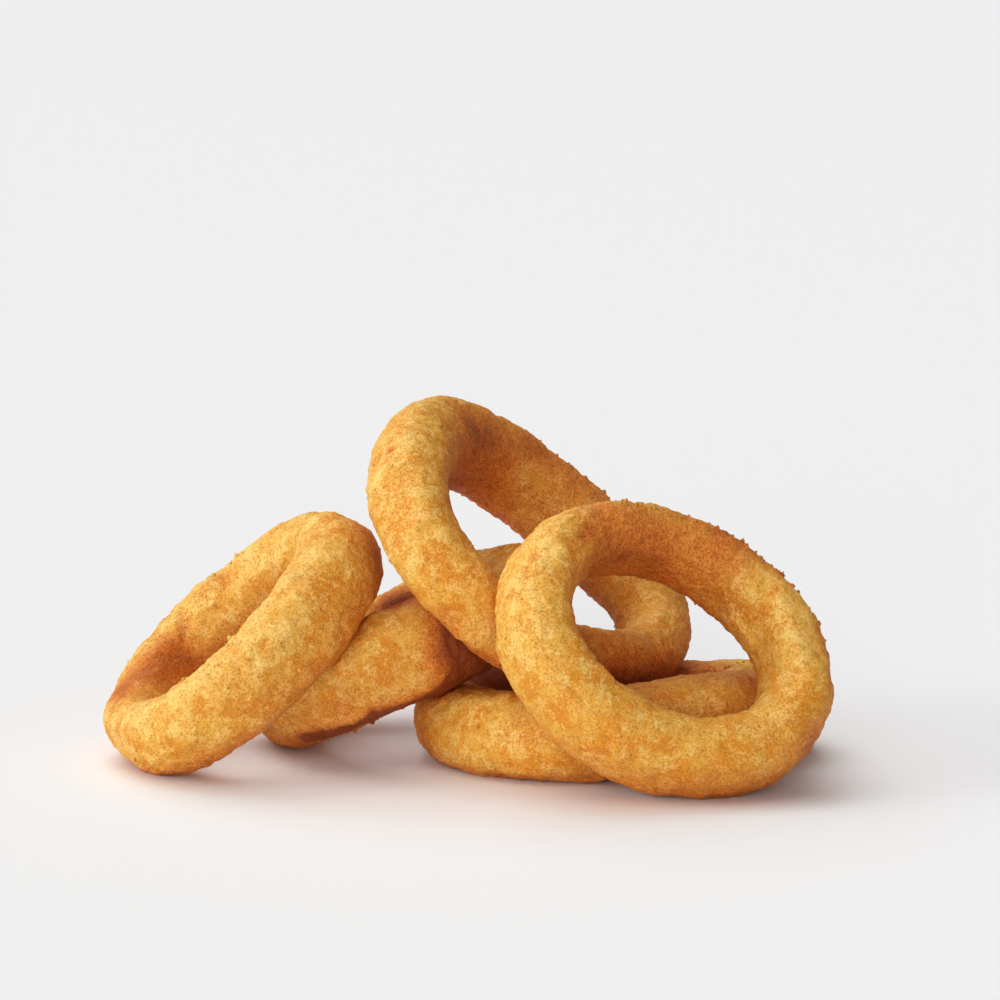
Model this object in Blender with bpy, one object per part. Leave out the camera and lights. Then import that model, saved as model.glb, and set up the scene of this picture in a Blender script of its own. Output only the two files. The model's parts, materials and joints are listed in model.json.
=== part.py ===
"""A side of five battered and fried onion rings, lying in the heap they were served in.

Each ring is one closed solid: an oval, slightly warped loop with a thick oval section and soft lumps.
Metres, +Z up. The origin is under the middle of the heap, on the surface that it stands on.
"""

import math
from typing import NamedTuple

import bpy
from mathutils import Euler, Matrix, Vector, noise

MM = 0.001
HEAP_NAME = "onion_rings_side"

# How finely every ring is faceted, along the loop and round its section.
LOOP_STEPS = 58
SECTION_STEPS = 16

# A section is a little squarer than an ellipse, whose power would be 2.
SECTION_POWER = 2.3

# The batter's soft lumps: their spacing and how far they rise or sink.
LUMP_SPACING = 13 * MM
LUMP_HEIGHT = 0.7 * MM

# How far apart, in lump spacings, the rings read the field that their lumps come from.
FIELD_LAYER = 20

# The block that cuts the flat feet: its top is the surface the heap stands on.
TABLE_SIDE = 400 * MM
TABLE_DEPTH = 20 * MM


class Ring(NamedTuple):
    """One ring's design in its own frame: the loop lies in XY, its long way along X, its axis along Z."""

    name: str
    centre: tuple  # mm, in the heap
    turn: tuple  # degrees about X, then Y, then Z
    half_length: float  # mm, of the loop's centre line along X
    half_width: float  # mm, of the loop's centre line along Y
    half_wall: float  # mm, of the section across the loop
    half_depth: float  # mm, of the section along the axis
    saddle: tuple  # mm, how far the loop's ends and its diagonals rise out of its plane
    fatness: tuple  # share by which the section grows towards +X and towards +Y
    corners: tuple  # share of a rounded triangle in the loop, pointing to +X and to -Y
    stands: bool  # whether the ring reaches the table
    colour: tuple  # linear RGB of the crust


RINGS = (
    Ring(
        name="ring_left",
        centre=(-51.8, 2.9, 27.0),
        turn=(2.0, -41.0, 14.5),
        half_length=30.2,
        half_width=26.6,
        half_wall=7.6,
        half_depth=9.4,
        saddle=(0.4, -0.4),
        fatness=(0.08, -0.07),
        corners=(0.02, -0.01),
        stands=True,
        colour=(0.70, 0.36, 0.10),
    ),
    Ring(
        name="ring_back",
        centre=(-15.2, 20.0, 23.8),
        turn=(1.0, -27.0, -4.0),
        half_length=30.4,
        half_width=25.3,
        half_wall=8.5,
        half_depth=9.3,
        saddle=(-1.2, 0.8),
        fatness=(0.02, -0.18),
        corners=(0.0, 0.04),
        stands=True,
        colour=(0.62, 0.29, 0.07),
    ),
    Ring(
        name="ring_top",
        centre=(13.5, 13.3, 46.7),
        turn=(39.5, 26.5, 35.0),
        half_length=37.7,
        half_width=32.2,
        half_wall=8.1,
        half_depth=9.3,
        saddle=(2.1, -0.7),
        fatness=(-0.01, 0.14),
        corners=(0.01, -0.05),
        stands=False,
        colour=(0.74, 0.40, 0.13),
    ),
    Ring(
        name="ring_front",
        centre=(44.5, -25.6, 32.4),
        turn=(51.0, 27.5, 3.0),
        half_length=31.8,
        half_width=25.0,
        half_wall=7.6,
        half_depth=11.0,
        saddle=(2.2, 0.1),
        fatness=(0.01, -0.07),
        corners=(0.0, -0.02),
        stands=True,
        colour=(0.74, 0.39, 0.12),
    ),
    Ring(
        name="ring_bottom",
        centre=(33.9, 7.8, 9.8),
        turn=(-3.0, -1.5, 8.5),
        half_length=37.1,
        half_width=24.6,
        half_wall=9.9,
        half_depth=9.2,
        saddle=(0.1, -0.5),
        fatness=(0.05, -0.14),
        corners=(0.03, 0.02),
        stands=True,
        colour=(0.64, 0.31, 0.08),
    ),
)


def clear_scene():
    for obj in list(bpy.data.objects):
        bpy.data.objects.remove(obj, do_unlink=True)


def make_collection(name, hidden=False):
    collection = bpy.data.collections.new(name)
    collection.hide_render = hidden
    bpy.context.scene.collection.children.link(collection)
    return collection


def move_to(obj, collection):
    for old in list(obj.users_collection):
        old.objects.unlink(obj)
    collection.objects.link(obj)


def squared_off(direction):
    """A cosine or sine, bent so that the section it draws is squarer than an ellipse."""
    return math.copysign(abs(direction) ** (2 / SECTION_POWER), direction)


def loop_point(ring, angle):
    """The point of the centre line at this angle, in millimetres."""
    triangle = ring.corners[0] * math.cos(3 * angle) + ring.corners[1] * math.sin(3 * angle)
    rise = ring.saddle[0] * math.cos(2 * angle) + ring.saddle[1] * math.sin(2 * angle)
    return Vector((
        ring.half_length * (1 + triangle) * math.cos(angle),
        ring.half_width * (1 + triangle) * math.sin(angle),
        rise,
    ))


def ring_point(ring, angle, section_angle):
    """The crust's point at these two angles, in metres."""
    outward = Vector((
        ring.half_width * math.cos(angle),
        ring.half_length * math.sin(angle),
        0,
    )).normalized()
    fat = 1 + ring.fatness[0] * math.cos(angle) + ring.fatness[1] * math.sin(angle)
    across = outward * ring.half_wall * fat * squared_off(math.cos(section_angle))
    along = Vector((0, 0, ring.half_depth * fat * squared_off(math.sin(section_angle))))
    return (loop_point(ring, angle) + across + along) * MM


def lump(ring, point):
    """How far the batter rises here. Each ring reads another part of one smooth field."""
    layer = Vector((0, 0, FIELD_LAYER * RINGS.index(ring)))
    return LUMP_HEIGHT * noise.noise(point / LUMP_SPACING + layer)


def make_crust(ring):
    """A Principled crust: dry, matt and golden."""
    material = bpy.data.materials.new(ring.name + "_crust")
    material.use_nodes = True
    shader = material.node_tree.nodes["Principled BSDF"]
    shader.inputs["Base Color"].default_value = (*ring.colour, 1)
    shader.inputs["Roughness"].default_value = 0.6
    shader.inputs["Metallic"].default_value = 0
    return material


def make_ring(ring, heap, collection):
    """A torus of radius 1, whose two angles at each vertex lead to the ring's own point there."""
    bpy.ops.mesh.primitive_torus_add(
        major_segments=LOOP_STEPS,
        minor_segments=SECTION_STEPS,
        major_radius=1,
        minor_radius=0.25,
    )
    obj = bpy.context.object
    obj.name = ring.name
    obj.data.name = ring.name
    move_to(obj, collection)

    for vertex in obj.data.vertices:
        x, y, z = vertex.co
        angle = math.atan2(y, x)
        section_angle = math.atan2(z, math.hypot(x, y) - 1)
        point = ring_point(ring, angle, section_angle)
        middle = loop_point(ring, angle) * MM
        vertex.co = point + (point - middle).normalized() * lump(ring, point)

    obj.data.materials.append(make_crust(ring))
    obj.data.shade_smooth()
    obj.parent = heap
    obj.location = Vector(ring.centre) * MM
    obj.rotation_euler = Euler([math.radians(a) for a in ring.turn])
    return obj


def make_table_cutter(collection):
    """A block under the heap that takes off whatever a ring would press into the table."""
    bpy.ops.mesh.primitive_cube_add(size=1)
    table = bpy.context.object
    table.name = "table_cutter"
    move_to(table, collection)
    table.data.transform(Matrix.Diagonal((TABLE_SIDE, TABLE_SIDE, TABLE_DEPTH, 1)))
    table.location.z = -TABLE_DEPTH / 2
    table.hide_render = True
    table.display_type = "WIRE"
    return table


def cut_flat_foot(obj, table):
    foot = obj.modifiers.new("flat foot", "BOOLEAN")
    foot.operation = "DIFFERENCE"
    foot.solver = "EXACT"
    foot.object = table


def centre_over_origin(heap, rings):
    """Shifts the heap so that the middle of its bounding box stands over the origin."""
    bpy.context.view_layer.update()
    corners = [obj.matrix_world @ v.co for obj in rings for v in obj.data.vertices]
    for axis in (0, 1):
        places = [corner[axis] for corner in corners]
        heap.location[axis] -= (min(places) + max(places)) / 2
    bpy.context.view_layer.update()


def main():
    clear_scene()
    parts = make_collection(HEAP_NAME)
    cutters = make_collection("cutters", hidden=True)

    heap = bpy.data.objects.new("heap", None)
    parts.objects.link(heap)
    rings = [make_ring(ring, heap, parts) for ring in RINGS]
    centre_over_origin(heap, rings)

    table = make_table_cutter(cutters)
    for ring, obj in zip(RINGS, rings):
        if ring.stands:
            cut_flat_foot(obj, table)


main()
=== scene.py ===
"""Onion rings side: five battered and fried onion rings on a plain pale table.

Each ring gets a grown crust: a fine skin laid over its plain solid, raised into swells,
knobs, blisters, creases and grain, with crumbs of batter fried on to it.
"""

import json
import math

import bmesh
import bpy
import numpy as np
from mathutils import Euler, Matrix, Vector, noise
from mathutils.bvhtree import BVHTree
from mathutils.kdtree import KDTree


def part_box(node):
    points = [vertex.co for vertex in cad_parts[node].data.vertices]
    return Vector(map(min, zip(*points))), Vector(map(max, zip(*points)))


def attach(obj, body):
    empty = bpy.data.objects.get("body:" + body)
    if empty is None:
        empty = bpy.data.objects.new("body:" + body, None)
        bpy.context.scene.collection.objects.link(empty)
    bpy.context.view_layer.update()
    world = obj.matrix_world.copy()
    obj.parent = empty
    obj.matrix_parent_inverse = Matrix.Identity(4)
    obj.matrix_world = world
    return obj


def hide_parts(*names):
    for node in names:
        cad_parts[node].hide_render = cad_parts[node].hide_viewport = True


bl_info = {
    "name": "Onion Rings Side",
    "version": (1, 0, 0),
    "blender": (4, 5, 0),
    "location": "3D View > Sidebar > Onion Rings",
    "description": "Grows fried batter crusts over five plain rings and sets up a table and light",
    "category": "Object",
}

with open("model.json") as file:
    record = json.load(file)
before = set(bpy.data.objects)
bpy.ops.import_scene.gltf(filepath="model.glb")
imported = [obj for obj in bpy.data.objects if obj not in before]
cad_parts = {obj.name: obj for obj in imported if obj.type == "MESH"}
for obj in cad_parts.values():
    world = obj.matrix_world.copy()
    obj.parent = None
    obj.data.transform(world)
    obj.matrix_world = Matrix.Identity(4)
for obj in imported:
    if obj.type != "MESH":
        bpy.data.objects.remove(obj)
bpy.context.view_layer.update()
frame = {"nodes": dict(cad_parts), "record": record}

MM = 0.001

RING_NAMES = ("ring_left", "ring_back", "ring_top", "ring_front", "ring_bottom")
SLOTS = {part["node"]: part["material_slot"] for part in frame["record"]["subparts"]}

# Noise: the height of a hump, shifts that give every seed its own stretch, and the
# numbers that turn a spot into its luck.
SWELL_GAIN = 2.2
SWELL_SHIFT = 31.7
CELL_SHIFT = 47.1
PATTERN_SHIFT = (17.3, 5.1, 9.7)
LUCK_TURNS = (127.1, 311.7, 74.7)
LUCK_GAIN = 43758.5

# The fine skin: what is welded, rounds of smoothing, and how far it grows back, all in
# millimetres but the rounds. A crust fills no more than its share of the room next to it.
WELD_REACH = 0.01
SKIN_SMOOTHING = 70
SKIN_REGROWTH = 0.22
TOUCHING_REACH = 3.0
TOUCHING_SHARE = 0.5
TABLE_HEIGHT = 0.0

# How wide the shapes in the batter are, or how far apart, in millimetres.
SWELL_SIZE = 8.5
SWELL_PATCH = 20.0
BEND_SIZE = 6.0
BEND_REACH = 1.6
KNOB_SIZE = 3.6
COARSE_GRAIN_SIZE = 1.75
FINE_GRAIN_SIZE = 1.15
BLISTER_SPACING = 8.0
PIT_SPACING = 5.0
FOLD_SIZE = 13.0
FOLD_PATCH = 16.0
TOAST_PATCH = 12.0
RELIEF_UNIT = 0.5

# Crumbs and grit in millimetres: the smallest radius, and how much larger the largest is.
CRUMB_RADIUS = (0.26, 0.46)
GRIT_RADIUS = (0.13, 0.17)
CRUMB_ROOM = 2.5
CRUMB_LOWEST = 2.0
CRUMB_SCATTER = 0.9
CRUMB_TILT = 0.9
CRUMB_SPIN = 6.28
CRUMB_LUMP_SIZE = 0.8
CRUMB_LUMPS = 0.42
CRUMB_LIFT = 0.12
CRUMB_TOAST = 0.12
CRUMB_RELIEF = 0.6
CRUMB_SEED = 1000

# How far apart the seeds of two rings' crusts are.
CRUST_SEEDS = 20

# Painted light and shade: rays tried, their length and start in millimetres, how narrow a lit
# side is, the least gain worth trying, and how many plain faces are blended at a point.
OPEN_RAYS = 120
OPEN_REACH = 60.0
OPEN_START = 0.3
OPEN_NARROWNESS = 6.0
OPEN_LEAST = 0.002
OPEN_BLEND = 8

# Sizes of the patterns in the batter's colour, in millimetres.
PATCH_PATTERN = 7.0
CREAM_PATTERN = 4.6
BLOTCH_PATTERN = 2.1
GRAIN_PATTERN = 0.54
FINE_PATTERN = 0.30
SPECK_PATTERN = 1.3
FRECKLE_PATTERN = 4.2

# How the batter takes light: bump and depth of glow in millimetres.
BUMP_HEIGHT = 0.48
BATTER_IOR = 1.42
BATTER_SHINE = 0.30
GLOW_SHARE = 0.35
GLOW_COLOUR = (1.0, 0.35, 0.12)
GLOW_DEPTH = 3.0

# The soft lights: spread, azimuth and elevation in degrees.
LIGHTS = {
    "side_light": (36.0, -80.0, 12.0),
    "front_light": (36.0, -10.0, 12.0),
    "back_light": (50.0, -150.0, 55.0),
    "top_light": (60.0, -50.0, 70.0),
}
TABLE_SIZE = 40.0
SENSOR_WIDTH = 36.0
CLIP_START = 0.01
CLIP_END = 100.0

# Painted light: roughly the sides from which the soft lights fall, where the batter is painted
# paler, and away from which it is painted browner: azimuth, elevation and share.
# Azimuth 0 is in front of the rings, and grows to the right.
PAINTED_LIGHT_SIDES = (
    (-80.0, 14.0, 0.36),
    (-10.0, 14.0, 0.34),
    (-140.0, 55.0, 0.14),
    (-40.0, 70.0, 0.16),
)

# Shapes pushed into the batter, in millimetres: start, end, reach and height.
STROKES = {
    "ring_left": (
        ((-41.0, 13.0, 42.0), (-47.0, 18.0, 35.0), 7.5, 2.8),
        ((-53.0, 20.0, 28.0), (-62.0, 18.0, 18.0), 6.5, 1.7),
        ((-66.0, 14.0, 17.0), (-72.0, 3.0, 13.5), 8.0, 2.2),
        ((-38.7, -21.4, 45.4), (-57.9, -29.6, 25.4), 3.5, 0.7),
        ((-57.9, -29.6, 25.4), (-69.6, -24.2, 16.4), 3.5, 0.6),
        ((-61.9, 24.4, 35.4), (-60.0, 23.5, 37.0), 4.5, 1.3),
        ((-52.3, 22.1, 43.0), (-49.0, 19.0, 46.0), 4.5, 1.2),
        ((-70.6, 14.3, 23.0), (-72.0, 12.0, 21.5), 4.0, 1.2),
        ((-66.0, 20.5, 30.5), (-64.5, 19.0, 28.0), 3.0, -1.0),
        ((-56.0, 23.0, 40.0), (-55.0, 21.0, 37.0), 3.0, -1.0),
    ),
    "ring_back": (
        ((-19.3, -8.5, 35.3), (-28.6, -14.8, 25.9), 3.5, 0.9),
        ((-28.6, -14.8, 25.9), (-41.8, -2.5, 9.5), 3.5, 0.8),
        ((-31.0, -11.5, 10.5), (-18.5, -16.0, 15.5), 2.8, 0.8),
        ((-18.5, -16.0, 15.5), (-5.0, -15.5, 21.0), 2.8, 0.7),
        ((-26.0, -16.0, 18.5), (-14.0, -17.0, 26.0), 7.0, -0.8),
    ),
    "ring_top": (
        ((-16.2, -8.4, 73.3), (-14.9, -9.5, 75.0), 1.5, -0.7),
        ((6.0, 20.0, 70.0), (12.0, 34.0, 66.0), 4.0, 0.6),
    ),
    "ring_front": (
        ((23.9, -36.1, 56.2), (28.5, -30.5, 58.8), 2.6, -0.9),
        ((21.7, -39.0, 54.5), (26.0, -34.5, 57.6), 2.8, 0.8),
        ((70.5, -23.0, 41.0), (74.0, -31.0, 31.0), 5.5, 0.9),
        ((62.5, -16.5, 34.8), (64.0, -18.5, 31.5), 4.2, 2.8),
        ((30.0, -48.0, 30.5), (32.5, -47.5, 29.0), 2.4, 1.1),
    ),
    "ring_bottom": (
        ((5.5, 14.0, 16.0), (9.5, 21.0, 16.2), 8.0, 1.9),
        ((49.0, 21.0, 17.0), (64.0, 18.0, 18.0), 2.5, 0.6),
    ),
}

# Patches of painted shade, browner, and of painted light, paler where the share is below 0: start,
# end, reach and share.
PAINTED_SHADE_AND_LIGHT = {
    "ring_left": (
        ((-68.0, 15.0, 22.0), (-78.0, 1.0, 16.5), 9.5, 1.25),
        ((-58.0, 20.0, 22.0), (-66.0, 15.0, 15.0), 5.0, 0.4),
    ),
    "ring_back": (
        ((-35.0, -4.5, 6.0), (-18.5, -14.6, 14.0), 4.4, 1.5),
        ((-18.5, -14.6, 14.0), (-5.0, -13.2, 18.9), 5.0, 1.6),
        ((-5.0, -12.8, 18.6), (3.0, -11.1, 22.0), 6.0, 1.6),
        ((-2.0, -15.9, 29.0), (6.0, -14.0, 24.0), 11.0, 1.7),
        ((-14.0, -4.0, 38.5), (-2.0, -12.0, 34.5), 7.0, 1.0),
        ((-17.0, 37.0, 30.0), (-10.0, 34.0, 31.0), 9.0, 1.5),
        ((-31.0, -14.0, 22.0), (-19.0, -17.0, 27.0), 9.0, -0.5),
        ((-19.3, -8.5, 35.3), (-28.6, -14.8, 25.9), 5.0, -0.5),
        ((-28.6, -14.8, 25.9), (-41.8, -2.5, 9.5), 5.0, -0.5),
    ),
    "ring_top": (
        ((1.0, 18.0, 76.0), (13.0, 35.0, 69.0), 11.0, 0.7),
        ((20.0, 37.0, 66.0), (38.0, 38.0, 50.0), 10.0, 0.7),
        ((33.5, -10.8, 20.5), (46.0, 3.0, 19.0), 9.0, 0.8),
        ((-16.2, -8.4, 73.3), (-14.9, -9.5, 75.0), 1.8, 0.7),
        ((8.6, -21.3, 26.7), (2.0, -22.5, 30.0), 4.0, 0.5),
    ),
    "ring_front": (
        ((33.0, -25.0, 61.0), (58.0, -15.0, 51.0), 15.0, 0.85),
        ((58.0, -13.0, 51.0), (73.0, -11.0, 42.0), 9.0, 0.6),
        ((73.0, -11.0, 42.0), (82.0, -22.0, 28.0), 6.0, 0.5),
        ((24.5, -35.6, 56.4), (28.5, -30.5, 58.8), 3.5, 0.25),
    ),
    "ring_bottom": (
        ((5.0, 12.0, 16.0), (9.0, 20.0, 16.0), 9.0, 2.0),
        ((38.0, 12.0, 15.0), (58.0, 16.0, 15.0), 11.0, 0.9),
        ((-5.0, -8.0, 16.1), (4.1, -8.0, 18.5), 4.0, 0.5),
        ((-7.3, -9.4, 11.6), (-8.5, -5.6, 5.0), 4.5, 0.45),
    ),
}

# Rows of crumbs caught on an edge, in millimetres: start, end and how many.
CRUMB_ROWS = {
    "ring_left": (
        ((-76.0, -14.0, 5.0), (-66.0, -22.0, 2.0), 7),
        ((-66.0, 27.0, 38.0), (-50.0, 20.0, 50.0), 8),
    ),
    "ring_back": (((-36.0, -6.0, 5.0), (-30.0, -8.0, 7.5), 5),),
    "ring_top": (
        ((14.0, 40.0, 74.0), (44.0, 44.0, 52.0), 16),
        ((-17.0, -8.0, 72.0), (-20.0, -2.0, 60.0), 6),
    ),
    "ring_front": (
        ((35.0, -20.0, 65.0), (62.0, -12.0, 56.0), 22),
        ((62.0, -12.0, 56.0), (76.0, -14.0, 45.0), 20),
        ((76.0, -14.0, 45.0), (82.5, -26.0, 30.0), 16),
        ((29.0, -48.0, 31.5), (34.0, -47.0, 28.5), 7),
    ),
    "ring_bottom": (
        ((49.0, 21.0, 17.0), (66.0, 18.0, 18.0), 22),
        ((-4.0, -18.0, 3.0), (20.0, -30.0, 2.0), 12),
    ),
}


# ---------------------------------------------------------------- settings


def colour(name, description, default):
    return bpy.props.FloatVectorProperty(
        name=name,
        description=description,
        default=default,
        subtype="COLOR",
        size=3,
        min=0.0,
        max=1.0,
    )


def share(name, description, default):
    return bpy.props.FloatProperty(
        name=name,
        description=description,
        default=default,
        subtype="FACTOR",
        min=0.0,
        max=1.0,
    )


def millimetres(name, description, default):
    return bpy.props.FloatProperty(
        name=name,
        description=description + ", in millimetres",
        default=default,
        min=0.0,
    )


class CrustSettings(bpy.types.PropertyGroup):
    skin_cell: millimetres("Skin cell", "Side of one cell of the fine skin", 0.44)
    swell_height: millimetres("Swell height", "Height of the broad soft swells", 0.34)
    knob_height: millimetres("Knob height", "Height of the knobs of batter", 0.17)
    grain_height: millimetres("Grain height", "Height of the crumbly grain", 0.16)
    blister_height: millimetres("Blister height", "Height of the fried blisters", 0.30)
    pit_depth: millimetres("Pit depth", "Depth of the pits left by burst bubbles", 0.25)
    crease_depth: millimetres("Crease depth", "Depth of the folds in the batter", 0.20)
    crumbs: bpy.props.IntProperty(
        name="Crumbs",
        description="Crumbs fried on to each ring",
        default=45,
        min=0,
    )
    grit: bpy.props.IntProperty(
        name="Grit",
        description="Fine bits of batter fried on to each ring",
        default=260,
        min=0,
    )
    pale: colour("Pale batter", "Palest blotches", (0.92, 0.61, 0.17))
    gold: colour("Golden batter", "Main colour of the crust", (0.80, 0.40, 0.050))
    amber: colour("Amber batter", "Deeper coloured patches", (0.75, 0.29, 0.016))
    # Brown and deep brown also carry painted shade in hollows, crevices and unlit places.
    brown: colour("Browned batter", "Hollows and browned patches", (0.52, 0.120, 0.012))
    chestnut: colour("Light brown batter", "Grain on the browned patches", (0.78, 0.245, 0.030))
    tan: colour("Tan batter", "Toasted grain", (0.56, 0.215, 0.030))
    crimson: colour("Deep brown batter", "Deepest crevices", (0.24, 0.044, 0.008))
    speck: colour("Specks", "Dark specks and burst bubbles", (0.26, 0.065, 0.012))
    left_browning: share("Left browning", "How brown the left ring is", 0.0)
    back_browning: share("Back browning", "How brown the back ring is", 0.0)
    top_browning: share("Top browning", "How brown the top ring is", 0.12)
    front_browning: share("Front browning", "How brown the front ring is", 0.06)
    bottom_browning: share("Bottom browning", "How brown the bottom ring is", 0.0)


class StageSettings(bpy.types.PropertyGroup):
    look_at: bpy.props.FloatVectorProperty(
        name="Look at",
        description="Point that the camera looks at",
        default=(0.0086, 0.0070, 0.0595),
        subtype="XYZ",
        unit="LENGTH",
        size=3,
    )
    distance: bpy.props.FloatProperty(
        name="Distance",
        description="Distance from the camera to that point",
        default=0.9,
        unit="LENGTH",
    )
    elevation: bpy.props.FloatProperty(
        name="Elevation",
        description="Angle at which the camera looks down",
        default=math.radians(8.76),
        subtype="ANGLE",
    )
    lens: bpy.props.FloatProperty(
        name="Lens",
        description="Focal length of the camera",
        default=141.1,
        subtype="DISTANCE_CAMERA",
    )
    table: colour("Table", "Colour of the plain table", (0.93, 0.93, 0.93))
    side_light: bpy.props.FloatProperty(
        name="Side light",
        description="Strength of the soft light from low on the left",
        default=0.45,
        min=0.0,
    )
    top_light: bpy.props.FloatProperty(
        name="Top light",
        description="Strength of the soft light from above",
        default=0.31,
        min=0.0,
    )
    front_light: bpy.props.FloatProperty(
        name="Front light",
        description="Strength of the soft light from low in front",
        default=0.43,
        min=0.0,
    )
    back_light: bpy.props.FloatProperty(
        name="Back light",
        description="Strength of the soft light from behind on the left",
        default=0.36,
        min=0.0,
    )
    sky: bpy.props.FloatProperty(
        name="Sky",
        description="Strength of the even white light from all round",
        default=0.17,
        min=0.0,
    )


# ---------------------------------------------------------------- materials


class Value:
    """A number socket on which arithmetic can be written plainly."""

    def __init__(self, finish, socket):
        self.finish = finish
        self.socket = socket

    def sum(self, operation, *terms, clamp=False):
        return self.finish.value(
            "ShaderNodeMath",
            {"operation": operation, "use_clamp": clamp},
            dict(enumerate(terms)),
        )

    def __add__(self, other):
        return self.sum("ADD", self, other)

    def __sub__(self, other):
        return self.sum("SUBTRACT", self, other)

    def __rsub__(self, other):
        return self.sum("SUBTRACT", other, self)

    def __mul__(self, other):
        return self.sum("MULTIPLY", self, other)

    def clamped(self):
        return self.sum("ADD", self, 0.0, clamp=True)

    def past(self, low, high):
        """0 below low, 1 above high, and a smooth step between them."""
        return self.finish.value(
            "ShaderNodeMapRange",
            {"interpolation_type": "SMOOTHSTEP"},
            {"Value": self, "From Min": low, "From Max": high},
        )


class Finish:
    """One material and the nodes in it."""

    def __init__(self, name):
        self.material = bpy.data.materials.new(name)
        self.material.use_nodes = True
        self.tree = self.material.node_tree
        self.tree.nodes.clear()
        self.shader = self.node("ShaderNodeBsdfPrincipled")
        output = self.node("ShaderNodeOutputMaterial")
        self.tree.links.new(self.shader.outputs["BSDF"], output.inputs["Surface"])

    def node(self, kind, settings=None, sockets=None):
        made = self.tree.nodes.new(kind)
        for name, value in (settings or {}).items():
            setattr(made, name, value)
        for key, value in (sockets or {}).items():
            self.feed(made.inputs[key], value)
        return made

    def feed(self, socket, value):
        if isinstance(value, Value):
            self.tree.links.new(value.socket, socket)
        elif isinstance(value, bpy.types.NodeSocket):
            self.tree.links.new(value, socket)
        else:
            socket.default_value = value

    def value(self, kind, settings=None, sockets=None, output=0):
        return Value(self, self.node(kind, settings, sockets).outputs[output])

    def mixed(self, amount, one, other):
        """One colour turning into the other as amount goes from 0 to 1."""
        mix = self.node(
            "ShaderNodeMix",
            {"data_type": "RGBA", "clamp_factor": True},
            {0: amount, 6: one, 7: other},
        )
        return mix.outputs[2]

    def place(self, size, offset=(0.0, 0.0, 0.0)):
        """The object's own coordinates, in units of the given size in millimetres."""
        spot = self.node("ShaderNodeTexCoord").outputs["Object"]
        return self.node(
            "ShaderNodeVectorMath",
            {"operation": "MULTIPLY_ADD"},
            {0: spot, 1: (1.0 / (size * MM),) * 3, 2: offset},
        ).outputs[0]

    def clouds(self, size, offset, detail, roughness):
        return self.value(
            "ShaderNodeTexNoise",
            {},
            {
                "Vector": self.place(size, offset),
                "Scale": 1.0,
                "Detail": detail,
                "Roughness": roughness,
            },
        )

    def dots(self, size, offset, radius, chance):
        """Dots, 1 at the middle and 0 outside. Chance is the share of cells that have one."""
        cells = self.node(
            "ShaderNodeTexVoronoi",
            {"feature": "F1"},
            {"Vector": self.place(size, offset), "Scale": 1.0, "Randomness": 1.0},
        )
        distance = Value(self, cells.outputs["Distance"])
        luck = self.value(
            "ShaderNodeSeparateColor", {}, {"Color": cells.outputs["Color"]}
        )
        present = luck.past(1.0 - chance, 1.0 - chance + 0.02)
        return (1.0 - distance.past(radius * 0.3, radius)) * present

    def attribute(self, name):
        return self.value("ShaderNodeAttribute", {"attribute_name": name}, output="Fac")


def rgba(value):
    return (*value, 1.0)


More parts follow.
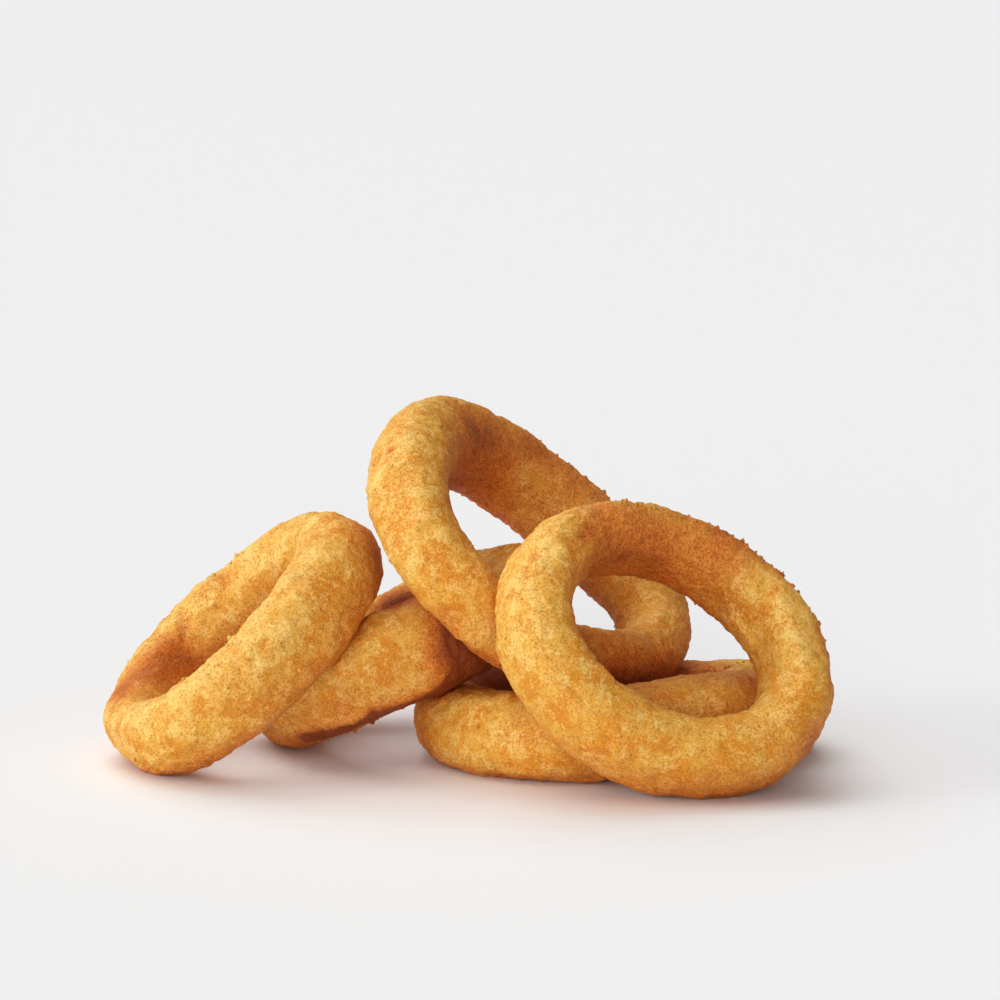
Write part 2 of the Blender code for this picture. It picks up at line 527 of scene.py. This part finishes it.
def crust_finish(name, settings, browning, seed):
    """Golden fried batter: blotched and grained, with painted light, paler where the soft lights
    fall, and painted shade, deep brown where it is shut in.
    """
    finish = Finish(name)
    shift = tuple(seed * part for part in PATTERN_SHIFT)
    height = finish.attribute("height")
    toast_and_shade = finish.attribute("toast_and_shade")
    painted_light = finish.attribute("painted_light")

    patches = finish.clouds(PATCH_PATTERN, shift, detail=2.0, roughness=0.5)
    cream = finish.clouds(CREAM_PATTERN, shift, detail=2.0, roughness=0.55)
    blotches = finish.clouds(BLOTCH_PATTERN, shift, detail=3.0, roughness=0.6)
    grain = finish.clouds(GRAIN_PATTERN, shift, detail=2.0, roughness=0.65)
    fine = finish.clouds(FINE_PATTERN, shift, detail=1.0, roughness=0.5)

    gold = finish.mixed(patches.past(0.45, 0.60), rgba(settings.gold), rgba(settings.amber))
    # Paler blotches, cream and grain, with painted light where the soft lights fall, and paler
    # crests, partly drier batter and partly painted highlight.
    pale_and_lit_share = (
        blotches.past(0.46, 0.68) * 0.55
        + grain.past(0.46, 0.66) * 0.62
        + height.past(0.0, 1.2) * 0.20
        + cream.past(0.47, 0.62) * 0.50
        + painted_light.past(0.55, 1.0) * 0.40
        - 0.33
    )
    crust = finish.mixed(pale_and_lit_share.clamped(), gold, rgba(settings.pale))

    toasted = grain.past(0.50, 0.32) * 0.66 + blotches.past(0.48, 0.30) * 0.35
    crust = finish.mixed((toasted - 0.08).clamped(), crust, rgba(settings.tan))

    # Browner with real browning and brown grain, and with painted shade: where little light falls,
    # in hollows, and from the toast and shade attribute.
    brown_and_shade_share = (
        toast_and_shade
        + painted_light.past(0.62, 0.05) * 0.80
        + browning * 0.5
        + height.past(0.1, -1.2) * 0.25
        + grain.past(0.50, 0.32) * 0.25
        - 0.12
    )
    brown = finish.mixed(
        grain.past(0.36, 0.64) * 0.7 + blotches.past(0.36, 0.64) * 0.3,
        rgba(settings.brown),
        rgba(settings.chestnut),
    )
    crust = finish.mixed(brown_and_shade_share.clamped(), crust, brown)
    # Painted shade: deep brown in the deepest shade.
    deep_shade_share = (brown_and_shade_share - 0.80).past(0.0, 1.0) * 0.95
    crust = finish.mixed(deep_shade_share, crust, rgba(settings.crimson))

    specks = finish.dots(SPECK_PATTERN, shift, radius=0.20, chance=0.16) * 0.6
    freckles = finish.dots(FRECKLE_PATTERN, shift, radius=0.09, chance=0.40) * 0.7
    crust = finish.mixed((specks + freckles).clamped(), crust, rgba(settings.speck))

    bump_height = grain * 0.75 + fine * 0.35 - specks * 0.3 - freckles * 0.4
    bump = finish.node(
        "ShaderNodeBump",
        {},
        {"Strength": 1.0, "Distance": BUMP_HEIGHT * MM, "Height": bump_height},
    )
    finish.feed(finish.shader.inputs["Base Color"], crust)
    finish.feed(
        finish.shader.inputs["Roughness"],
        0.60 - height.past(0.0, 1.5) * 0.10 + (fine - 0.5) * 0.2,
    )
    finish.feed(finish.shader.inputs["Normal"], bump.outputs["Normal"])
    finish.feed(finish.shader.inputs["IOR"], BATTER_IOR)
    finish.feed(finish.shader.inputs["Specular IOR Level"], BATTER_SHINE)
    finish.feed(finish.shader.inputs["Subsurface Weight"], GLOW_SHARE)
    finish.feed(finish.shader.inputs["Subsurface Radius"], GLOW_COLOUR)
    finish.feed(finish.shader.inputs["Subsurface Scale"], GLOW_DEPTH * MM)
    return finish.material


def table_finish(settings):
    """Plain and dull."""
    finish = Finish("pale_table")
    finish.feed(finish.shader.inputs["Base Color"], rgba(settings.table))
    finish.feed(finish.shader.inputs["Roughness"], 0.9)
    finish.feed(finish.shader.inputs["Specular IOR Level"], 0.1)
    return finish.material


# ---------------------------------------------------------------- crust shapes


def swells(points, size, seed):
    """Smooth random heights of about -1 to 1, whose humps are about size across."""
    places = points / size + SWELL_SHIFT * seed
    return SWELL_GAIN * np.array([noise.noise(place) for place in places.tolist()])


def scatter_cells(points, size, seed):
    """Distance to the nearest of some scattered spots, and that spot's own luck, 0 to 1."""
    places = points / size + CELL_SHIFT * seed
    found = [noise.voronoi(place) for place in places.tolist()]
    distance = np.array([distances[0] for distances, _ in found]) * size
    spots = np.array([list(spot[0]) for _, spot in found])
    luck = np.modf(np.abs(np.sin(spots @ LUCK_TURNS) * LUCK_GAIN))[0]
    return distance, luck


def step(values, low, high):
    """0 at low, 1 at high, smooth between them."""
    part = np.clip((values - low) / (high - low), 0.0, 1.0)
    return part * part * (3.0 - 2.0 * part)


def stroke(points, start, end, reach):
    """1 along the line from start to end, fading to 0 at its reach."""
    start, along = np.array(start), np.subtract(end, start)
    part = np.clip((points - start) @ along / (along @ along), 0.0, 1.0)
    distance = np.linalg.norm(points - start - part[:, None] * along, axis=1)
    return step(distance, reach, 0.0)


def fine_skin(name, plain, settings):
    """A fine even mesh laid over a plain ring, with its facets smoothed away."""
    mesh = plain.data.copy()
    welded = bmesh.new()
    welded.from_mesh(mesh)
    bmesh.ops.remove_doubles(welded, verts=welded.verts, dist=WELD_REACH * MM)
    welded.to_mesh(mesh)
    welded.free()
    draft = bpy.data.objects.new("draft", mesh)
    bpy.context.collection.objects.link(draft)
    remesh = draft.modifiers.new("skin", "REMESH")
    remesh.mode = "VOXEL"
    remesh.voxel_size = settings.skin_cell * MM
    smooth = draft.modifiers.new("smooth", "SMOOTH")
    smooth.factor = 0.5
    smooth.iterations = SKIN_SMOOTHING
    graph = bpy.context.evaluated_depsgraph_get()
    skin = bpy.data.meshes.new_from_object(draft.evaluated_get(graph))
    bpy.data.objects.remove(draft)
    skin.name = name
    skin.materials.clear()
    skin.attributes.active_color_name = ""
    piece = bpy.data.objects.new(name, skin)
    bpy.context.collection.objects.link(piece)
    return piece


def points_of(mesh):
    """The mesh's points, in millimetres."""
    points = np.empty(len(mesh.vertices) * 3, np.float32)
    mesh.vertices.foreach_get("co", points)
    return points.reshape(-1, 3).astype(float) / MM


def normals_of(mesh):
    normals = np.empty(len(mesh.vertices) * 3, np.float32)
    mesh.vertex_normals.foreach_get("vector", normals)
    return normals.reshape(-1, 3).astype(float)


def set_points(mesh, points):
    """Move the mesh's points to places given in millimetres."""
    mesh.vertices.foreach_set("co", (points * MM).astype(np.float32).ravel())
    mesh.update()


def set_attribute(mesh, name, values):
    attribute = mesh.attributes.new(name, "FLOAT", "POINT")
    attribute.data.foreach_set("value", values.astype(np.float32))


def get_attribute(mesh, name):
    values = np.empty(len(mesh.vertices), np.float32)
    mesh.attributes[name].data.foreach_get("value", values)
    return values


def room_to_neighbours(name, points):
    """How far each point is from the nearest other plain ring, up to a reach."""
    room = np.full(len(points), TOUCHING_REACH)
    for other in RING_NAMES:
        if other == name:
            continue
        low, high = (np.array(corner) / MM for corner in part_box(other))
        near = np.all(
            (points > low - TOUCHING_REACH) & (points < high + TOUCHING_REACH), axis=1
        )
        tree = ring_tree(other)
        for index in np.flatnonzero(near):
            hit = tree.find_nearest(points[index].tolist(), TOUCHING_REACH)
            if hit[3] is not None:
                room[index] = min(room[index], hit[3])
    return room


def ring_tree(name):
    """A search tree over one plain ring, in millimetres."""
    plain = frame["nodes"][name].data
    plain.calc_loop_triangles()
    return BVHTree.FromPolygons(
        [vertex.co / MM for vertex in plain.vertices],
        [list(face.vertices) for face in plain.loop_triangles],
    )


def even_directions(count):
    """Directions spread evenly over a whole ball."""
    order = np.arange(count) + 0.5
    height = 1.0 - 2.0 * order / count
    turn = order * math.pi * (1.0 + math.sqrt(5.0))
    flat = np.sqrt(1.0 - height * height)
    return np.stack([flat * np.cos(turn), flat * np.sin(turn), height], axis=1)


def direction(azimuth, elevation):
    """Azimuth 0 points to the front of the rings, and grows to the right."""
    turn, lift = math.radians(azimuth), math.radians(elevation)
    return np.array(
        [math.sin(turn) * math.cos(lift), -math.cos(turn) * math.cos(lift), math.sin(lift)]
    )


def painted_light(name, points):
    """Painted light and shade: how much of the soft lights from the lit sides falls on each point,
    shadows of all rings included, 0 to 1, worked out on the plain ring.
    """
    plain = frame["nodes"][name].data
    trees = [ring_tree(other) for other in RING_NAMES]
    rays = even_directions(OPEN_RAYS)
    weights = sum(
        part * np.exp(OPEN_NARROWNESS * (rays @ direction(azimuth, elevation) - 1.0))
        for azimuth, elevation, part in PAINTED_LIGHT_SIDES
    )
    most = max((np.maximum(rays @ facing, 0.0) * weights).sum() for facing in rays)
    spots, opened = [], []
    for face in plain.polygons:
        spot = face.center / MM + face.normal * OPEN_START
        gained = (rays @ np.array(face.normal)) * weights
        for index in np.flatnonzero(gained > OPEN_LEAST * most):
            ray = rays[index].tolist()
            if any(tree.ray_cast(spot, ray, OPEN_REACH)[0] for tree in trees):
                gained[index] = 0.0
        spots.append(face.center / MM)
        opened.append(np.maximum(gained, 0.0).sum() / most)
    finder = KDTree(len(spots))
    for index, spot in enumerate(spots):
        finder.insert(spot, index)
    finder.balance()
    blended = np.empty(len(points))
    for index, point in enumerate(points.tolist()):
        near = finder.find_n(point, OPEN_BLEND)
        shares = [1.0 / (1.0 + distance * distance) for _, _, distance in near]
        total = sum(share * opened[found] for share, (_, found, _) in zip(shares, near))
        blended[index] = total / sum(shares)
    return blended


def blisters(points, seed):
    """Fried bubbles, 1 at the top of each. Only the luckier spots have one."""
    distance, luck = scatter_cells(points, BLISTER_SPACING, seed)
    size = 1.4 + 1.8 * luck
    return (luck > 0.55) * step(distance, size, 0.2 * size)


def pits(points, seed):
    """Pits left by burst bubbles, 1 at the bottom of each."""
    distance, luck = scatter_cells(points, PIT_SPACING, seed)
    return (luck > 0.62) * step(distance, 0.45 + 0.5 * luck, 0.0)


def creases(points, bent, seed):
    """Winding folds, 1 along the bottom of each, in some patches of the batter only."""
    fold = swells(bent, FOLD_SIZE, seed)
    patches = swells(points, FOLD_PATCH, seed + 1)
    return step(np.abs(fold), 0.09, 0.0) * step(patches, 0.0, 0.7)


def fried_relief(points, settings, seed):
    """How high the batter stands all over a ring, in millimetres."""
    broad = swells(points, SWELL_SIZE, seed) * (
        0.6 + 0.4 * swells(points, SWELL_PATCH, seed + 1)
    )
    bent = points + BEND_REACH * np.stack(
        [swells(points, BEND_SIZE, seed + part) for part in (2, 3, 4)], axis=1
    )
    coarse = swells(bent, COARSE_GRAIN_SIZE, seed + 6)
    grain = coarse * 0.7 + swells(points, FINE_GRAIN_SIZE, seed + 7) * 0.45
    return (
        settings.swell_height * broad
        + settings.knob_height * swells(bent, KNOB_SIZE, seed + 5)
        + settings.grain_height * grain
        + settings.blister_height * blisters(points, seed + 8)
        - settings.pit_depth * pits(points, seed + 9)
        - settings.crease_depth * creases(points, bent, seed + 10)
    )


def toast_and_shade_of(name, points, normals, room, carved, seed):
    """How brown each point is made: painted shade underneath, next to other rings and in creases,
    random patches of real browning, and the listed patches of painted shade and light.
    """
    # Painted shade: browner underneath and next to other rings.
    toast_and_shade = 0.3 * step(-normals[:, 2], 0.35, 0.95) + 0.4 * step(room, 2.4, 0.4)
    # Random patches fried browner, and painted shade in the carved creases.
    toast_and_shade += 0.2 * step(swells(points, TOAST_PATCH, seed), 0.35, 1.1) + 0.25 * carved
    # Listed patches of painted shade, and of painted light where the share is below 0.
    for start, end, reach, painted_share in PAINTED_SHADE_AND_LIGHT[name]:
        toast_and_shade += painted_share * stroke(points, start, end, reach)
    return toast_and_shade


def grow_crust(name, settings, seed):
    """The ring's skin, raised into the relief of fried batter."""
    piece = fine_skin(name.replace("ring_", "crust_") + "_ring", frame["nodes"][name], settings)
    mesh = piece.data
    points = points_of(mesh)
    normals = normals_of(mesh)

    relief = fried_relief(points, settings, seed)
    room = room_to_neighbours(name, points)
    carved = np.zeros(len(points))
    for start, end, reach, rise in STROKES[name]:
        stroked = rise * stroke(points, start, end, reach)
        relief += stroked
        carved += np.maximum(-stroked, 0.0)
    raised = np.minimum(SKIN_REGROWTH + relief, TOUCHING_SHARE * room)
    points = points + normals * raised[:, None]
    points[:, 2] = np.maximum(points[:, 2], TABLE_HEIGHT)
    set_points(mesh, points)
    mesh.polygons.foreach_set("use_smooth", np.ones(len(mesh.polygons), bool))

    # Painted light and shade: how much of the soft lights falls on each point.
    set_attribute(mesh, "painted_light", painted_light(name, points))
    set_attribute(mesh, "height", relief / RELIEF_UNIT)
    # Painted shade, with some real browning in random patches.
    toast_and_shade = toast_and_shade_of(name, points, normals, room, carved, seed + 12)
    set_attribute(mesh, "toast_and_shade", toast_and_shade)
    return piece


def crumb_shape(splits):
    """The points and faces of an even ball that a crumb starts from."""
    ball = bmesh.new()
    bmesh.ops.create_icosphere(ball, subdivisions=splits, radius=1.0)
    around = np.array([vertex.co[:] for vertex in ball.verts])
    faces = np.array([[vertex.index for vertex in face.verts] for face in ball.faces])
    ball.free()
    return around, faces


def crumb_places(name, points, settings, chance):
    """The skin points on which crumbs sit: loose ones, rows on edges, and fine grit."""
    room = room_to_neighbours(name, points)
    free = np.flatnonzero((room > CRUMB_ROOM) & (points[:, 2] > CRUMB_LOWEST))
    finder = KDTree(len(points))
    for index, point in enumerate(points.tolist()):
        finder.insert(point, index)
    finder.balance()
    big = list(chance.choice(free, settings.crumbs, replace=False))
    for start, end, count in CRUMB_ROWS[name]:
        for _ in range(count):
            spot = np.array(start) + chance.random() * np.subtract(end, start)
            spot += chance.normal(0.0, CRUMB_SCATTER, 3)
            big.append(finder.find(spot.tolist())[1])
    small = list(chance.choice(free, settings.grit, replace=False))
    return [(index, True) for index in big] + [(index, False) for index in small]


def crumb_radius(big, chance):
    """A random radius in millimetres. Few crumbs are large."""
    if big:
        return CRUMB_RADIUS[0] + CRUMB_RADIUS[1] * chance.random() ** 2
    return GRIT_RADIUS[0] + GRIT_RADIUS[1] * chance.random()


def grow_crumbs(name, crust, settings, seed):
    """The crumbs fried on to one crust, as one mesh of small closed pebbles."""
    shapes = {True: crumb_shape(2), False: crumb_shape(1)}
    points = points_of(crust.data)
    normals = normals_of(crust.data)
    chance = np.random.default_rng(CRUMB_SEED + seed)
    crust_toast_and_shade = get_attribute(crust.data, "toast_and_shade")
    all_points, all_faces, crumb_toast_and_shade, first = [], [], [], 0
    for order, (index, big) in enumerate(crumb_places(name, points, settings, chance)):
        around, faces = shapes[big]
        size = crumb_radius(big, chance)
        width, height = 0.55 + 0.45 * chance.random(), 0.45 + 0.4 * chance.random()
        stretch = size * np.array([1.0, width, height])
        turn = Vector(normals[index]).to_track_quat("Z", "Y").to_matrix()
        tilts = (CRUMB_TILT * chance.random(), CRUMB_TILT * chance.random())
        spin = Euler((*tilts, CRUMB_SPIN * chance.random()))
        lumps = 1.0 + CRUMB_LUMPS * swells(around, CRUMB_LUMP_SIZE, seed + order)
        pebble = (around * lumps[:, None] * stretch) @ np.array(turn @ spin.to_matrix()).T
        all_points.append(pebble + points[index] + normals[index] * size * CRUMB_LIFT)
        all_faces.append(faces + first)
        # Each crumb takes the crust's browning and painted shade beneath it, fried a little
        # browner.
        crumb_toast_and_shade.append(np.full(len(around), crust_toast_and_shade[index] + CRUMB_TOAST))
        first += len(around)
    mesh = bpy.data.meshes.new(name.replace("ring_", "crumbs_"))
    mesh.from_pydata(
        (np.concatenate(all_points) * MM).tolist(), [], np.concatenate(all_faces).tolist()
    )
    mesh.polygons.foreach_set("use_smooth", np.ones(len(mesh.polygons), bool))
    piece = bpy.data.objects.new(mesh.name, mesh)
    bpy.context.collection.objects.link(piece)
    # Painted light and shade on the crumbs, worked out as on the crust.
    set_attribute(mesh, "painted_light", painted_light(name, points_of(mesh)))
    # Crumbs count as crests, so they are a little paler, partly painted highlight.
    set_attribute(mesh, "height", np.full(len(mesh.vertices), CRUMB_RELIEF))
    set_attribute(mesh, "toast_and_shade", np.concatenate(crumb_toast_and_shade))
    return piece


class ONIONRINGS_OT_crust(bpy.types.Operator):
    """Grow the fried crust and crumbs of one ring"""

    bl_idname = "onionrings.crust"
    bl_label = "Fried Crust"

    ring: bpy.props.StringProperty(
        name="Ring", description="Name of the plain ring to cover", default=RING_NAMES[0]
    )

    def execute(self, context):
        if self.ring not in RING_NAMES:
            raise ValueError(f"there is no ring named {self.ring}")
        settings = context.scene.onion_crust
        order = RING_NAMES.index(self.ring)
        browning = getattr(settings, self.ring.replace("ring_", "") + "_browning")
        material = crust_finish(SLOTS[self.ring] + "_batter", settings, browning, order)
        crust = grow_crust(self.ring, settings, CRUST_SEEDS * order)
        crumbs = grow_crumbs(self.ring, crust, settings, order)
        for piece in (crust, crumbs):
            piece.data.materials.append(material)
            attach(piece, "root")
        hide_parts(self.ring)
        return {"FINISHED"}


# ---------------------------------------------------------------- stage


def soft_light(name, strength, spread, azimuth, elevation):
    """Even soft light from far off. Azimuth 0 is in front of the rings, and grows to the right."""
    light = bpy.data.lights.new(name, "SUN")
    light.energy = strength * math.pi
    light.angle = math.radians(spread)
    lamp = bpy.data.objects.new(name, light)
    bpy.context.collection.objects.link(lamp)
    towards = Vector(direction(azimuth, elevation))
    lamp.location = towards
    lamp.rotation_euler = towards.to_track_quat("Z", "Y").to_euler()


class ONIONRINGS_OT_stage(bpy.types.Operator):
    """Set up the table, the soft lights and the camera"""

    bl_idname = "onionrings.stage"
    bl_label = "Table and Light"

    def execute(self, context):
        settings = context.scene.onion_stage
        bpy.ops.mesh.primitive_plane_add(size=TABLE_SIZE, location=(0.0, 0.0, 0.0))
        table = context.object
        table.name = "table"
        table.data.materials.append(table_finish(settings))

        world = bpy.data.worlds.new("soft_room")
        world.use_nodes = True
        backdrop = world.node_tree.nodes["Background"]
        backdrop.inputs["Color"].default_value = (1, 1, 1, 1)
        backdrop.inputs["Strength"].default_value = settings.sky
        context.scene.world = world

        for name, (spread, azimuth, elevation) in LIGHTS.items():
            soft_light(name, getattr(settings, name), spread, azimuth, elevation)

        camera = bpy.data.objects.new("camera", bpy.data.cameras.new("camera"))
        context.collection.objects.link(camera)
        camera.data.sensor_width = SENSOR_WIDTH
        camera.data.lens = settings.lens
        camera.data.clip_start = CLIP_START
        camera.data.clip_end = CLIP_END
        lift = settings.elevation
        camera.location = Vector(settings.look_at) + settings.distance * Vector(
            (0.0, -math.cos(lift), math.sin(lift))
        )
        camera.rotation_euler = (math.pi / 2 - lift, 0.0, 0.0)
        context.scene.camera = camera
        context.scene.view_settings.view_transform = "Standard"
        return {"FINISHED"}


class ONIONRINGS_PT_panel(bpy.types.Panel):
    """The steps that make the onion rings, and their settings"""

    bl_idname = "ONIONRINGS_PT_panel"
    bl_label = "Onion Rings"
    bl_space_type = "VIEW_3D"
    bl_region_type = "UI"
    bl_category = "Onion Rings"

    def draw(self, context):
        for name in RING_NAMES:
            self.layout.operator(ONIONRINGS_OT_crust.bl_idname, text=name).ring = name
        self.layout.operator(ONIONRINGS_OT_stage.bl_idname)
        for settings in (context.scene.onion_crust, context.scene.onion_stage):
            for name in settings.__annotations__:
                self.layout.prop(settings, name)


CLASSES = (
    CrustSettings,
    StageSettings,
    ONIONRINGS_OT_crust,
    ONIONRINGS_OT_stage,
    ONIONRINGS_PT_panel,
)


def register():
    for made in CLASSES:
        bpy.utils.register_class(made)
    bpy.types.Scene.onion_crust = bpy.props.PointerProperty(type=CrustSettings)
    bpy.types.Scene.onion_stage = bpy.props.PointerProperty(type=StageSettings)


def unregister():
    del bpy.types.Scene.onion_stage
    del bpy.types.Scene.onion_crust
    for made in reversed(CLASSES):
        bpy.utils.unregister_class(made)


def main():
    register()
    for name in RING_NAMES:
        bpy.ops.onionrings.crust(ring=name)
    bpy.ops.onionrings.stage()


if __name__ == "__main__":
    main()
